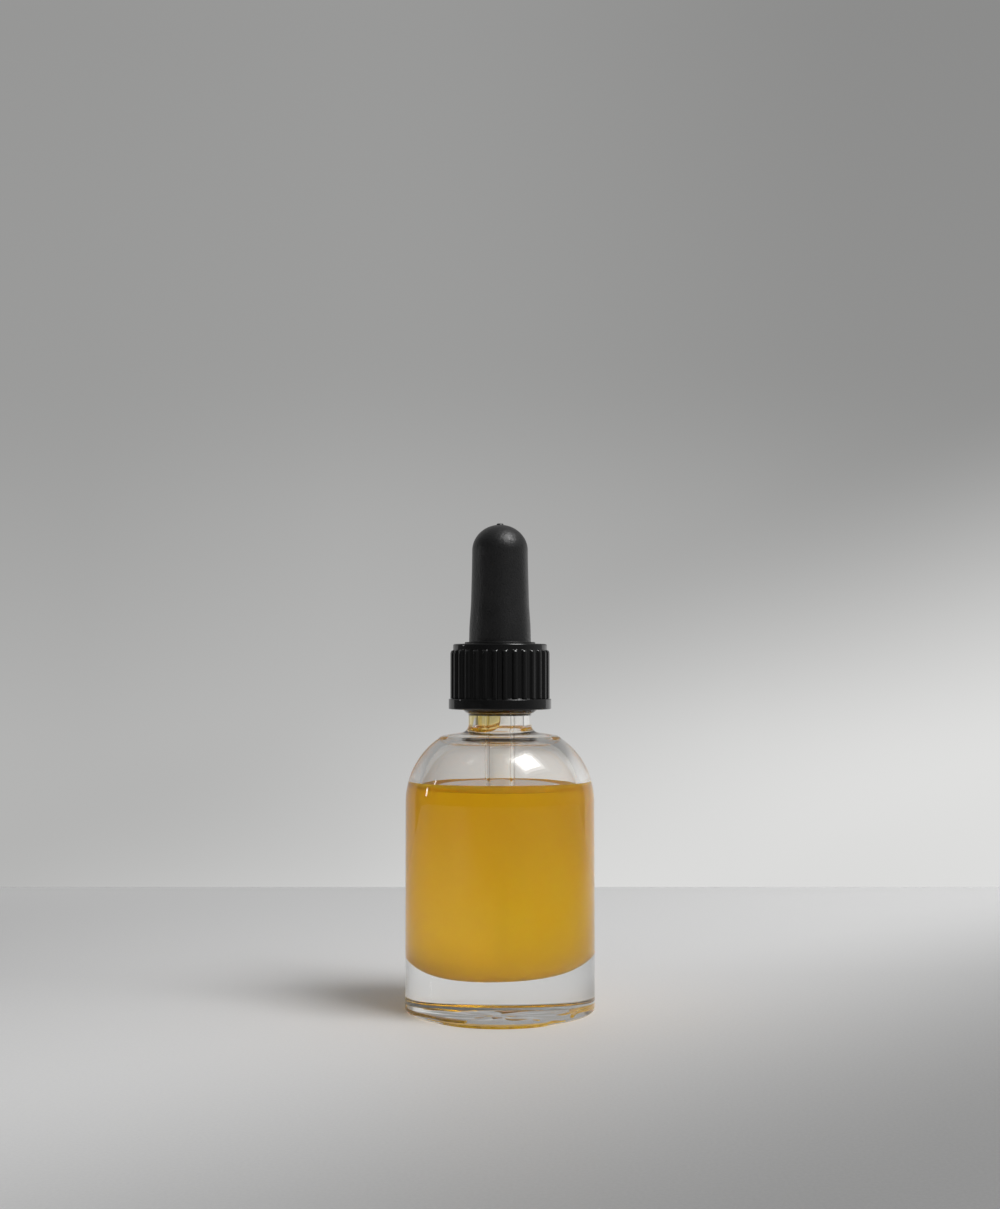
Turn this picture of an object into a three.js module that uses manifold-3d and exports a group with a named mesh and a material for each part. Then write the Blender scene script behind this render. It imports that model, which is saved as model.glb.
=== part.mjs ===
// Dropper bottle: a clear glass bottle with a heavy base, closed by a ribbed screw cap
// that carries a rubber bulb and a glass pipette. Millimetres, +Z up, with the origin on
// the axis in the plane that the bottle stands on. A profile lists (radius, height)
// points, up the outside and down the inside.
import * as THREE from "three";
import { mergeVertices } from "three/addons/utils/BufferGeometryUtils.js";
import Module from "manifold-3d";

const wasm = await Module();
wasm.setup();

// Bottle body
const BODY_RADIUS = 20;
const CORNER_RADIUS = 2.4;
const STANDING_RING_INNER_RADIUS = 15;
const STANDING_RING_BEVEL = 7;
const PUSH_UP = 0.4;
const WALL = 2.8;
const FLOOR_HEIGHT = 8;
const FLOOR_CORNER_WIDTH = 11;
const FLOOR_CORNER_HEIGHT = 12.5;
const SHOULDER_START = 43.6;
const SHOULDER_RADIUS = 16.4;
const SHOULDER_ARC_DEG = 60;
const SHOULDER_TOP = 58.2;
const INNER_SHOULDER_START = 43.6;
const INNER_SHOULDER_WIDTH = 10;
const INNER_SHOULDER_HEIGHT = 13.2;

// Neck and screw finish, a nominal 18 mm one
const NECK_RADIUS = 6.65;
const NECK_FILLET_RADIUS = 1.8;
const NECK_FILLET_START_DEG = -100;
const BORE_RADIUS = 5;
const BORE_FILLET_RADIUS = 2;
const FINISH_RADIUS = 7.75;
const FINISH_START = 62.4;
const RIM_HEIGHT = 74.2;
const RIM_ROUND = 0.4;

// Screw thread, which the bottle and the cap share
const THREAD_PITCH = 3.175;
const THREAD_ANCHOR = 0.5;
const THREAD_SINK = 0.1;
const THREAD_RUN_OUT_TURNS = 0.12;
const BOTTLE_THREAD = { crest: 8.75, start: 67.2, turns: 1.5, rootWidth: 1.5, crestWidth: 0.6 };
const CAP_THREAD_DROP = 1.4;
const CAP_THREAD = { crest: 8, turns: 1.25, rootWidth: 1.1, crestWidth: 0.5 };

// Cap
const CAP_BOTTOM = 63.2;
const CAP_TOP = 77;
const CAP_RADIUS = 10;
const CAP_TOP_ROUND = 0.6;
const CAP_BORE_RADIUS = 9;
const CAP_LEAD_IN = 0.5;
const CAP_PANEL = 1.2;
const CAP_HOLE_RADIUS = 5.3;
const BAND_RADIUS = 10.9;
const BAND_TOP = 65.4;
const BAND_BEVEL = 0.25;
const RIB_COUNT = 30;
const RIB_CREST_RADIUS = 10.53;
const RIB_TOP = 75.7;
const RIB_HALF_ROOT_DEG = 3.2;
const RIB_HALF_CREST_DEG = 1.7;
const RIB_ANCHOR = 0.2;
const CUT_MARGIN = 1;

// Seal washer
const WASHER_THICKNESS = 0.6;
const WASHER_BORE_RADIUS = 3.6;
const WASHER_RADIUS = 7.6;

// Rubber bulb
const BULB_LIP_RADIUS = 7.5;
const BULB_LIP_THICKNESS = 0.4;
const BULB_NECK_RADIUS = 5;
const BULB_SOCKET_RADIUS = 3.45;
const BULB_SOCKET_TOP = 78.4;
const BULB_BASE_RADIUS = 6.58;
const BULB_DOME_RADIUS = 5.93;
// Up the bulb's side, (height, share of the widening towards its base)
const BULB_FLARE = [
  [81, 0.85],
  [85.1, 0.43],
  [89.2, 0.23],
  [93.5, 0.08],
];
const BULB_DOME_START = 96.9;
const BULB_DOME_HEIGHT = 5.5;
const BULB_WALL = 1.4;
const BULB_NUB_RADIUS = 0.7;
const BULB_NUB_HEIGHT = 0.25;

// Glass pipette
const PIPETTE_RADIUS = 3.25;
const PIPETTE_BORE_RADIUS = 2.3;
const PIPETTE_TIP = 15;
const PIPETTE_TAPER_TOP = 28;
const PIPETTE_TOP = 77;
const PIPETTE_TIP_RADIUS = 1.4;
const PIPETTE_ORIFICE_RADIUS = 0.65;
const PIPETTE_EDGE_ROUND = 0.35;
// Up the pipette's taper, (share of its height, share of its widening)
const PIPETTE_TAPER = [
  [0.25, 0.17],
  [0.75, 0.89],
];

// Number of flats round each turned piece
const BOTTLE_FLATS = 56;
const CAP_FLATS = 2 * RIB_COUNT;
const BULB_FLATS = 40;
const PIPETTE_FLATS = 28;
const THREAD_STEPS_PER_TURN = 28;

// Number of flats along each curve of a profile
const ROUND_STEPS = 4;
const SHOULDER_STEPS = 9;
const FLOOR_STEPS = 6;
const CAP_ROUND_STEPS = 2;
const DOME_STEPS = 8;
const CAVITY_STEPS = 5;

const point = (radius, height) => new THREE.Vector2(radius, height);

// Points along an arc of an ellipse with half-axes a (outwards) and b (upwards).
function arc(centreRadius, centreHeight, a, b, fromDeg, toDeg, steps) {
  const points = [];
  for (let i = 0; i <= steps; i += 1) {
    const angle = THREE.MathUtils.degToRad(fromDeg + ((toDeg - fromDeg) * i) / steps);
    points.push(point(centreRadius + a * Math.cos(angle), centreHeight + b * Math.sin(angle)));
  }
  return points;
}

// A profile turned round the Z axis.
function turned(profile, flats) {
  return new THREE.LatheGeometry(profile, flats).rotateX(Math.PI / 2);
}

function toSolid(geometry) {
  geometry.deleteAttribute("normal");
  geometry.deleteAttribute("uv");
  const merged = mergeVertices(geometry);
  const vertProperties = merged.attributes.position.array;
  const triVerts = merged.index.array;
  return new wasm.Manifold(new wasm.Mesh({ numProp: 3, vertProperties, triVerts }));
}

function toGeometry(solid) {
  const mesh = solid.getMesh();
  const geometry = new THREE.BufferGeometry();
  geometry.setAttribute("position", new THREE.BufferAttribute(mesh.vertProperties, 3));
  geometry.setIndex(new THREE.BufferAttribute(mesh.triVerts, 1));
  geometry.computeVertexNormals();
  return geometry;
}

// A right-handed thread ridge on a wall of the given radius: a long box wound into a
// helix. Its root is anchored inside the wall, and its crest sinks into it at both ends.
function threadRidge(wallRadius, start, { crest, turns, rootWidth, crestWidth }) {
  const steps = Math.round(turns * THREAD_STEPS_PER_TURN);
  const ridge = new THREE.BoxGeometry(1, turns, 1, 1, steps, 1);
  const side = Math.sign(crest - wallRadius);
  const vertices = ridge.attributes.position;
  for (let i = 0; i < vertices.count; i += 1) {
    const turn = vertices.getY(i) + turns / 2;
    const isCrest = vertices.getX(i) > 0 === side > 0;
    const rise = Math.min(1, turn / THREAD_RUN_OUT_TURNS, (turns - turn) / THREAD_RUN_OUT_TURNS);
    const sunk = wallRadius - side * THREAD_SINK;
    const radius = isCrest
      ? THREE.MathUtils.lerp(sunk, crest, rise)
      : wallRadius - side * THREAD_ANCHOR;
    const width = isCrest ? crestWidth : rootWidth;
    const angle = turn * 2 * Math.PI;
    const height = start + turn * THREAD_PITCH + vertices.getZ(i) * width;
    vertices.setXYZ(i, radius * Math.cos(angle), radius * Math.sin(angle), height);
  }
  return toSolid(ridge);
}

function bottleProfile() {
  const innerRadius = BODY_RADIUS - WALL;
  const neckFilletCentre = NECK_RADIUS + NECK_FILLET_RADIUS;
  const shoulderCentre = BODY_RADIUS - SHOULDER_RADIUS;
  const boreFilletCentre = BORE_RADIUS + BORE_FILLET_RADIUS;
  const innerShoulderTop = INNER_SHOULDER_START + INNER_SHOULDER_HEIGHT;
  const innerShoulderCentre = innerRadius - INNER_SHOULDER_WIDTH;
  const ringOuterRadius = BODY_RADIUS - CORNER_RADIUS;
  return [
    point(0, PUSH_UP),
    point(STANDING_RING_INNER_RADIUS - STANDING_RING_BEVEL, PUSH_UP),
    point(STANDING_RING_INNER_RADIUS, 0),
    ...arc(ringOuterRadius, CORNER_RADIUS, CORNER_RADIUS, CORNER_RADIUS, -90, 0, ROUND_STEPS),
    ...arc(
      shoulderCentre,
      SHOULDER_START,
      SHOULDER_RADIUS,
      SHOULDER_RADIUS,
      0,
      SHOULDER_ARC_DEG,
      SHOULDER_STEPS,
    ),
    ...arc(
      neckFilletCentre,
      SHOULDER_TOP + NECK_FILLET_RADIUS,
      NECK_FILLET_RADIUS,
      NECK_FILLET_RADIUS,
      NECK_FILLET_START_DEG,
      -180,
      ROUND_STEPS,
    ),
    point(NECK_RADIUS, FINISH_START - RIM_ROUND),
    point(FINISH_RADIUS - RIM_ROUND, FINISH_START),
    point(FINISH_RADIUS, FINISH_START + RIM_ROUND),
    point(FINISH_RADIUS, RIM_HEIGHT - RIM_ROUND),
    point(FINISH_RADIUS - RIM_ROUND, RIM_HEIGHT),
    point(BORE_RADIUS + RIM_ROUND, RIM_HEIGHT),
    point(BORE_RADIUS, RIM_HEIGHT - RIM_ROUND),
    ...arc(
      boreFilletCentre,
      innerShoulderTop + BORE_FILLET_RADIUS,
      BORE_FILLET_RADIUS,
      BORE_FILLET_RADIUS,
      -180,
      -90,
      ROUND_STEPS,
    ),
    ...arc(
      innerShoulderCentre,
      INNER_SHOULDER_START,
      INNER_SHOULDER_WIDTH,
      INNER_SHOULDER_HEIGHT,
      90,
      0,
      SHOULDER_STEPS,
    ),
    ...arc(
      innerRadius - FLOOR_CORNER_WIDTH,
      FLOOR_HEIGHT + FLOOR_CORNER_HEIGHT,
      FLOOR_CORNER_WIDTH,
      FLOOR_CORNER_HEIGHT,
      0,
      -90,
      FLOOR_STEPS,
    ),
    point(0, FLOOR_HEIGHT),
  ];
}

function bottleGeometry() {
  const blown = toSolid(turned(bottleProfile(), BOTTLE_FLATS));
  const ridge = threadRidge(FINISH_RADIUS, BOTTLE_THREAD.start, BOTTLE_THREAD);
  return toGeometry(blown.add(ridge));
}

// The ribbed grip as one solid: every rib is a trapezium that rises from the cap's wall.
function capRibs() {
  const outline = [];
  const corners = [
    [-RIB_HALF_ROOT_DEG, CAP_RADIUS - RIB_ANCHOR],
    [-RIB_HALF_CREST_DEG, RIB_CREST_RADIUS],
    [RIB_HALF_CREST_DEG, RIB_CREST_RADIUS],
    [RIB_HALF_ROOT_DEG, CAP_RADIUS - RIB_ANCHOR],
  ];
  for (let rib = 0; rib < RIB_COUNT; rib += 1) {
    for (const [offsetDeg, radius] of corners) {
      const angle = THREE.MathUtils.degToRad((rib * 360) / RIB_COUNT + offsetDeg);
      outline.push(point(radius * Math.cos(angle), radius * Math.sin(angle)));
    }
  }
  const foot = BAND_TOP - RIB_ANCHOR;
  const grip = new THREE.ExtrudeGeometry(new THREE.Shape(outline), {
    depth: RIB_TOP - foot,
    bevelEnabled: false,
  });
  return toSolid(grip.translate(0, 0, foot));
}

function capGeometry() {
  const outside = toSolid(
    turned(
      [
        point(0, CAP_BOTTOM),
        point(BAND_RADIUS - BAND_BEVEL, CAP_BOTTOM),
        point(BAND_RADIUS, CAP_BOTTOM + BAND_BEVEL),
        point(BAND_RADIUS, BAND_TOP - BAND_BEVEL),
        point(BAND_RADIUS - BAND_BEVEL, BAND_TOP),
        point(CAP_RADIUS, BAND_TOP),
        ...arc(
          CAP_RADIUS - CAP_TOP_ROUND,
          CAP_TOP - CAP_TOP_ROUND,
          CAP_TOP_ROUND,
          CAP_TOP_ROUND,
          0,
          90,
          CAP_ROUND_STEPS,
        ),
        point(0, CAP_TOP),
      ],
      CAP_FLATS,
    ),
  );
  const hollow = toSolid(
    turned(
      [
        point(0, CAP_BOTTOM - CUT_MARGIN),
        point(CAP_BORE_RADIUS + CAP_LEAD_IN, CAP_BOTTOM - CUT_MARGIN),
        point(CAP_BORE_RADIUS + CAP_LEAD_IN, CAP_BOTTOM),
        point(CAP_BORE_RADIUS, CAP_BOTTOM + CAP_LEAD_IN),
        point(CAP_BORE_RADIUS, CAP_TOP - CAP_PANEL),
        point(CAP_HOLE_RADIUS, CAP_TOP - CAP_PANEL),
        point(CAP_HOLE_RADIUS, CAP_TOP + CUT_MARGIN),
        point(0, CAP_TOP + CUT_MARGIN),
      ],
      CAP_FLATS,
    ),
  );
  const ridge = threadRidge(CAP_BORE_RADIUS, BOTTLE_THREAD.start - CAP_THREAD_DROP, CAP_THREAD);
  return toGeometry(outside.add(capRibs()).subtract(hollow).add(ridge));
}

function washerGeometry() {
  const top = RIM_HEIGHT + WASHER_THICKNESS;
  return turned(
    [
      point(WASHER_BORE_RADIUS, RIM_HEIGHT),
      point(WASHER_RADIUS, RIM_HEIGHT),
      point(WASHER_RADIUS, top),
      point(WASHER_BORE_RADIUS, top),
      point(WASHER_BORE_RADIUS, RIM_HEIGHT),
    ],
    BULB_FLATS,
  );
}

// Up the inside from the dome to the socket, round the flange that the cap clamps, through
// the cap's hole, and up the flared outside to the dome and its moulding nub.
function bulbGeometry() {
  const flangeBottom = RIM_HEIGHT + WASHER_THICKNESS;
  const flangeTop = CAP_TOP - CAP_PANEL;
  const lipTop = CAP_TOP + BULB_LIP_THICKNESS;
  const cavityRadius = BULB_DOME_RADIUS - BULB_WALL;
  const side = new THREE.SplineCurve([
    point(BULB_BASE_RADIUS, lipTop),
    ...BULB_FLARE.map(([height, flare]) =>
      point(THREE.MathUtils.lerp(BULB_DOME_RADIUS, BULB_BASE_RADIUS, flare), height),
    ),
    point(BULB_DOME_RADIUS, BULB_DOME_START),
  ]);
  const domeEndDeg = THREE.MathUtils.radToDeg(Math.acos(BULB_NUB_RADIUS / BULB_DOME_RADIUS));
  const nubTop = BULB_DOME_START + BULB_DOME_HEIGHT + BULB_NUB_HEIGHT;
  return turned(
    [
      ...arc(0, BULB_DOME_START, cavityRadius, BULB_DOME_HEIGHT - BULB_WALL, 90, 0, CAVITY_STEPS),
      point(BULB_BASE_RADIUS - BULB_WALL, BULB_SOCKET_TOP + BULB_WALL),
      point(BULB_SOCKET_RADIUS, BULB_SOCKET_TOP),
      point(BULB_SOCKET_RADIUS, flangeBottom),
      point(WASHER_RADIUS, flangeBottom),
      point(WASHER_RADIUS, flangeTop),
      point(BULB_NECK_RADIUS, flangeTop),
      point(BULB_NECK_RADIUS, CAP_TOP),
      point(BULB_LIP_RADIUS, CAP_TOP),
      point(BULB_LIP_RADIUS, lipTop),
      ...side.getPoints(DOME_STEPS).slice(0, -1),
      ...arc(0, BULB_DOME_START, BULB_DOME_RADIUS, BULB_DOME_HEIGHT, 0, domeEndDeg, DOME_STEPS),
      point(BULB_NUB_RADIUS, nubTop),
      point(0, nubTop),
    ],
    BULB_FLATS,
  );
}

function taper(tipRadius, radius) {
  const length = PIPETTE_TAPER_TOP - PIPETTE_TIP;
  return PIPETTE_TAPER.map(([rise, widening]) =>
    point(THREE.MathUtils.lerp(tipRadius, radius, widening), PIPETTE_TIP + rise * length),
  );
}

function pipetteGeometry() {
  const rounded = PIPETTE_EDGE_ROUND;
  const profile = [
    point(PIPETTE_ORIFICE_RADIUS, PIPETTE_TIP + rounded / 2),
    point(PIPETTE_ORIFICE_RADIUS + rounded / 2, PIPETTE_TIP),
    point(PIPETTE_TIP_RADIUS - rounded, PIPETTE_TIP),
    point(PIPETTE_TIP_RADIUS, PIPETTE_TIP + rounded),
    ...taper(PIPETTE_TIP_RADIUS, PIPETTE_RADIUS),
    point(PIPETTE_RADIUS, PIPETTE_TAPER_TOP),
    point(PIPETTE_RADIUS, PIPETTE_TOP - rounded),
    point(PIPETTE_RADIUS - rounded, PIPETTE_TOP),
    point(PIPETTE_BORE_RADIUS, PIPETTE_TOP),
    point(PIPETTE_BORE_RADIUS, PIPETTE_TAPER_TOP),
    ...taper(PIPETTE_ORIFICE_RADIUS, PIPETTE_BORE_RADIUS).reverse(),
  ];
  return turned([...profile, profile[0]], PIPETTE_FLATS);
}

const material = (color, roughness, metalness, extra = {}) =>
  new THREE.MeshStandardMaterial({ color, roughness, metalness, ...extra });

const clearGlass = () => material("#dfe4e2", 0.05, 0, { transparent: true, opacity: 0.35 });

const pieces = [
  ["bottle", bottleGeometry(), clearGlass()],
  ["cap", capGeometry(), material("#141414", 0.25, 0)],
  ["seal_washer", washerGeometry(), material("#e8e8e2", 0.45, 0)],
  ["bulb", bulbGeometry(), material("#262626", 0.75, 0)],
  ["pipette", pipetteGeometry(), clearGlass()],
];

const dropperBottle = new THREE.Group();
for (const [name, geometry, look] of pieces) {
  const mesh = new THREE.Mesh(geometry, look);
  mesh.name = name;
  dropperBottle.add(mesh);
}

export default dropperBottle;
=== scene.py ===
"""Dropper bottle: clear glass bottle of amber oil, ribbed black screw cap, rubber bulb and glass pipette.

Every piece is turned or built in mesh code round the Z axis, in metres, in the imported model's frame.
A profile lists (radius, height) points up the outside and down the inside.
"""

import math

import bmesh
import bpy
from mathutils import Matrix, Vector


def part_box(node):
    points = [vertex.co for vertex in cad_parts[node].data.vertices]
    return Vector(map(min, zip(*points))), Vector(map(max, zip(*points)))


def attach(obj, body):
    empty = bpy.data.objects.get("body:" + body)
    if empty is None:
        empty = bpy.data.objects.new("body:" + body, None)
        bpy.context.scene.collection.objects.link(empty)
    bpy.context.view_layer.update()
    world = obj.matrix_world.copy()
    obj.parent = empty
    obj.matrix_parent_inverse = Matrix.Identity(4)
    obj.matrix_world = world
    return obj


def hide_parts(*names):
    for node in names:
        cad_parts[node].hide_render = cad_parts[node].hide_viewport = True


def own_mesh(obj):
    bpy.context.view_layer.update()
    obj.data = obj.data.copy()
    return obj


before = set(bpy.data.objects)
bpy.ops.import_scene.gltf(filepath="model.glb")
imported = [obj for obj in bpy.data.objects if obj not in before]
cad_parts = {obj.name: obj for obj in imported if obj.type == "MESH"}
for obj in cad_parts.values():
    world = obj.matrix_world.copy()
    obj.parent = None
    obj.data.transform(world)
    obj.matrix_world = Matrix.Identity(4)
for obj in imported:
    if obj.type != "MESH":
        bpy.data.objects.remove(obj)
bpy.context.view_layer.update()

MM = 0.001
# Two radii that differ by less than this are the same wall.
SAME = 0.001 * MM

# ---------------------------------------------------------------- sizes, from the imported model

_, BOTTLE_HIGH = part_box("bottle")
CAP_LOW, CAP_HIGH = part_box("cap")
WASHER_LOW, WASHER_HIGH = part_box("seal_washer")
_, BULB_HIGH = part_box("bulb")
PIPETTE_LOW, PIPETTE_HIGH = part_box("pipette")

# Bottle
BODY_RADIUS = BOTTLE_HIGH.x
RIM_HEIGHT = BOTTLE_HIGH.z
CORNER_RADIUS = 1.5 * MM
CORNER_HEIGHT = 0.7 * MM
RING_INNER_RADIUS = 15 * MM
RING_BEVEL = 7 * MM
RING_BEVEL_STEPS = 24
PUSH_UP = 0.4 * MM
UNDERSIDE_WAVE = 0.05 * MM
UNDERSIDE_MARK = 0.35 * MM
UNDERSIDE_MARK_ANGLE = 5.5  # radians
UNDERSIDE_MARK_SPREAD = 0.16  # radians
UNDERSIDE_MARK_RADIUS = 13.4 * MM
UNDERSIDE_MARK_WIDTH = 1.2 * MM
WALL = 2.8 * MM
FLOOR_HEIGHT = 8 * MM
FLOOR_CORNER_WIDTH = 11 * MM
FLOOR_CORNER_HEIGHT = 12.5 * MM
FLOOR_SLOPE = 0.035
SHOULDER_START = 43.6 * MM
SHOULDER_RADIUS = 16.4 * MM
SHOULDER_ARC_DEG = 55
SHOULDER_EDGE_RADIUS = 1.45 * MM
SHOULDER_EDGE_IN = 1.2 * MM
SHOULDER_EDGE_DOWN = 0.85 * MM
SHOULDER_TOP = 58.2 * MM
INNER_SHOULDER_START = 43.6 * MM
INNER_SHOULDER_WIDTH = 10 * MM
INNER_SHOULDER_HEIGHT = 13.2 * MM
NECK_RADIUS = 6.65 * MM
NECK_FILLET_RADIUS = 1.8 * MM
BORE_RADIUS = 5 * MM
BORE_FILLET_RADIUS = 1.1 * MM
FINISH_RADIUS = 7.75 * MM
FINISH_START = 62.4 * MM
FINISH_BEAD = 0.9 * MM
RIM_ROUND = 0.5 * MM
OUTER_UNEVENNESS = 0.02 * MM
INNER_UNEVENNESS = 0.09 * MM
INNER_RADIUS = BODY_RADIUS - WALL
INNER_SHOULDER_TOP = INNER_SHOULDER_START + INNER_SHOULDER_HEIGHT

# Screw threads
THREAD_PITCH = 3.175 * MM
THREAD_RUN_OUT_TURNS = 0.12
BOTTLE_THREAD = {"start": 67.2 * MM, "turns": 1.5, "rise": 1 * MM, "root": 0.75 * MM, "crest": 0.3 * MM}
CAP_THREAD = {"start": 65.8 * MM, "turns": 1.25, "rise": -1 * MM, "root": 0.55 * MM, "crest": 0.25 * MM}
THREAD_ROW = 0.16 * MM

# Cap
CAP_RADIUS = 10 * MM
BAND_RADIUS = CAP_HIGH.x
BAND_TOP = 65.4 * MM
CAP_BORE_RADIUS = 9 * MM
CAP_MOUTH = 0.35 * MM
CAP_BAND_ROUND = 0.22 * MM
CAP_CROWN_ROUND = 0.4 * MM
CAP_PANEL = 1.2 * MM
CAP_HOLE_RADIUS = 5.3 * MM
RIB_COUNT = 30
RIB_RISE = 0.53 * MM
RIB_TOP = 75.7 * MM
RIB_END_ROUND = 0.8 * MM
RIB_HALF_ROOT_DEG = 3.5
RIB_HALF_CREST_DEG = 0.4

# Bulb
LIP_RADIUS = 7.5 * MM
LIP_TOP = CAP_HIGH.z + 0.4 * MM
COLLAR_ROUND = 0.14 * MM
BULB_NECK_RADIUS = 5 * MM
BULB_SOCKET_RADIUS = 3.3 * MM
FLANGE_RADIUS = WASHER_HIGH.x
BULB_BASE_RADIUS = 6.58 * MM
BULB_DOME_RADIUS = 5.93 * MM
BULB_DOME_START = 96.9 * MM
BULB_DOME_HEIGHT = 5.5 * MM
BULB_WALL = 1.4 * MM
BULB_NUB_RADIUS = 0.7 * MM
BULB_NUB_ROUND = 0.15 * MM
# (height, how far outside the dome's radius) up the bulb's side, in millimetres
BULB_SIDE = [(81, 0.55), (85.1, 0.28), (89.2, 0.15), (93.5, 0.05)]

# Washer
WASHER_HOLE_RADIUS = 3.6 * MM
WASHER_ROUND = 0.1 * MM

# Pipette
PIPETTE_RADIUS = 3.25 * MM
PIPETTE_BORE_RADIUS = 2.3 * MM
PIPETTE_TAPER_TOP = 28 * MM
PIPETTE_TIP_RADIUS = 1.4 * MM
PIPETTE_ORIFICE_RADIUS = 0.65 * MM
PIPETTE_TIP_ROUND = 0.25 * MM
PIPETTE_RIM_ROUND = 0.35 * MM

# Oil: it reaches a little into the glass that it wets, so that no film of air shows between them.
OIL_LEVEL = 46.5 * MM
WETTED = 0.04 * MM
MENISCUS_RISE = 1.4 * MM
MENISCUS_WIDTH = 0.9 * MM
COLUMN_FOOT = 0.4 * MM
COLUMN_DIP = 0.8 * MM

# Oil that has run down inside the neck
FILM_FOOT = 57.15 * MM
FILM_FOOT_HIGH = 61 * MM
FILM_TOP = 66 * MM
FILM_FROM_DEG = 150
FILM_TO_DEG = 271
FILM_THICKNESS = 0.25 * MM
FILM_DROP = 0.85 * MM
FILM_DROP_HEIGHT = 0.8 * MM
FILM_EDGE = 0.4 * MM
FILM_LEAST = 0.01 * MM

# Oil under the bottle
SMEAR_FOOT = 0.01 * MM
RING_SMEAR_HEIGHT = 0.6 * MM
# In millimetres: the ring's radius, its (angle in degrees, half width), and each streak's (x, y, half width)
RING_SMEAR_RADIUS = 18.3
RING_SMEAR = [(-140, 0.2), (-128, 0.8), (-112, 1.3), (-95, 1.4), (-80, 1.3), (-65, 1.0), (-46, 0.2)]
STREAKS = {
    "oil_streak_left": [
        (-14.5, 6, 0.2),
        (-13.2, 1, 0.4),
        (-11, -3.5, 0.7),
        (-8.6, -7, 1.1),
        (-5.8, -9.5, 0.4),
    ],
    "oil_streak_front": [
        (-3.6, -4, 0.3),
        (-1, -2.5, 0.6),
        (1.2, -5.5, 0.7),
        (3.6, -6.5, 0.8),
        (6.4, -8, 0.3),
    ],
    "oil_streak_middle": [(-0.5, 9, 0.3), (1.2, 8, 0.8), (3, 8.6, 0.3)],
    "oil_swirl_inner": [(8.4, -1, 0.4), (9.4, 3, 0.6), (8.4, 7, 0.5), (8.6, 11, 0.4), (9.8, 13, 0.3)],
    "oil_swirl_outer": [(11.4, -3.5, 0.3), (10.6, 0.5, 0.35), (11.2, 4, 0.3), (10.6, 8, 0.35)],
}

# Optics. An index named immersed is that of a piece standing in the oil, where it hardly bends light.
# The pipette's is below real glass above the oil too, because only faint lines of it show there.
GLASS_IOR = 1.52
GLASS_COLOUR = (0.985, 0.99, 0.985)
FILMED_GLASS = (1.0, 0.993, 0.975)
PIPETTE_IOR = 1.36
PIPETTE_IMMERSED_IOR = 1.03
PIPETTE_TINT = (0.95, 0.95, 0.95)
OIL_IOR = 1.47
COLUMN_IMMERSED_IOR = 1.02
# The strength of the oil's glow, which is painted light.
OIL_GLOW = 0.075
OIL_CLOUDY_ROUGHNESS = 0.42
OIL_CLEAR_ROUGHNESS = 0.02
OIL_SHEEN = (1.0, 0.6, 0.05)
IMMERSED_FROM = OIL_LEVEL - 0.2 * MM
IMMERSED_TO = OIL_LEVEL + 0.1 * MM

# Mesh detail
SUPPORT_INSET = 0.12 * MM
ROUNDING_STEPS = 5
ROUNDED_FROM_DEG = 25
SHARP_DEG = 38
CAP_SHARP_DEG = 75
SURFACE_STEPS = (0.97, 0.9, 0.7, 0.5, 0.3, 0.15, 0)
GLASS_SEGMENTS = 240
CAP_SEGMENTS = RIB_COUNT * 20
SMALL_SEGMENTS = 128

# ---------------------------------------------------------------- mesh helpers


def arc(centre_r, centre_z, a, b, from_deg, to_deg, steps):
    """Points along an arc of an ellipse with half-axes a (outwards) and b (upwards)."""
    points = []
    for i in range(steps + 1):
        angle = math.radians(from_deg + (to_deg - from_deg) * i / steps)
        points.append((centre_r + a * math.cos(angle), centre_z + b * math.sin(angle)))
    return points


def rounded(corner, before, after, radius):
    """A small arc in place of a profile's corner, between the points before and after it."""
    c, p, n = Vector(corner), Vector(before), Vector(after)
    to_p, to_n = (p - c).normalized(), (n - c).normalized()
    half = to_p.angle(to_n) / 2
    reach = radius / math.tan(half)
    start, end = c + to_p * reach, c + to_n * reach
    points = []
    for i in range(ROUNDING_STEPS + 1):
        t = i / ROUNDING_STEPS
        # A quadratic curve through the corner's two tangent points is round enough at this size.
        points.append(tuple(start * (1 - t) ** 2 + c * 2 * t * (1 - t) + end * t**2))
    return points


def softened(profile, radius, closed=False):
    """The profile with every sharp corner rounded to radius, or to less where the sides are short."""
    made = []
    count = len(profile)
    for i, corner in enumerate(profile):
        if not closed and i in (0, count - 1):
            made.append(corner)
            continue
        before, after = profile[i - 1], profile[(i + 1) % count]
        c, p, n = Vector(corner), Vector(before), Vector(after)
        turn = math.pi - (p - c).angle(n - c)
        if turn < math.radians(ROUNDED_FROM_DEG):
            made.append(corner)
            continue
        # The arc may take up to 45% of the shorter side, so that the next corner's arc has room.
        most = 0.45 * min((p - c).length, (n - c).length) * math.tan((math.pi - turn) / 2)
        made += rounded(corner, before, after, min(radius, most))
    return made


def supported(profile, closed=False):
    """The profile with extra points near the ends of its long sides, so that they are shaded flat."""
    made = []
    ends = profile[1:] + ([profile[0]] if closed else [])
    for start, end in zip(profile, ends):
        a, b = Vector(start), Vector(end)
        made.append(start)
        if (b - a).length > 6 * SUPPORT_INSET:
            step = (b - a).normalized() * SUPPORT_INSET
            made += [tuple(a + step), tuple(b - step)]
    if not closed:
        made.append(profile[-1])
    return made


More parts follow.
